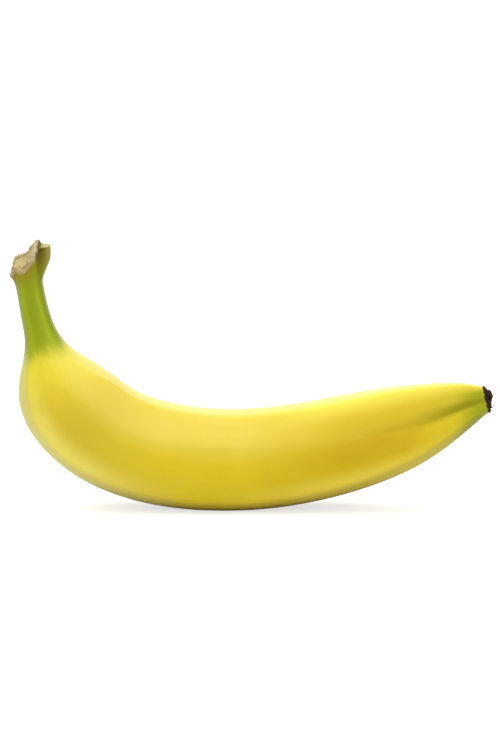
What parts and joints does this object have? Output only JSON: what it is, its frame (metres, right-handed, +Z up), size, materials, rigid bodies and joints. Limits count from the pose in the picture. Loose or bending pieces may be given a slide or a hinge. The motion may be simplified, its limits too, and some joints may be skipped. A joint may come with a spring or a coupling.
{
  "type": "banana",
  "caption": "Whole unpeeled dessert banana lying on the middle of its outer curve, with a rising green stalk, a torn stalk end and a small dark blossom end",
  "frame": {"origin": "the resting spot on the middle of the flattened belly, on the surface that the banana lies on", "axes": "+X runs along the fruit from the stalk end to the blossom end, +Y runs across it towards the side away from the reference view, and +Z is up, the way the stalk rises"},
  "size_m": [0.1811, 0.0379, 0.1012],
  "materials": {
    "peel": "waxy satin, bright yellow with green towards both ends",
    "torn_tissue": "matte, pale and fibrous",
    "dried_tissue": "matte, dry and rough"
  },
  "bodies": {
    "root": {"banana": "peel"}
  },
  "joints": []
}
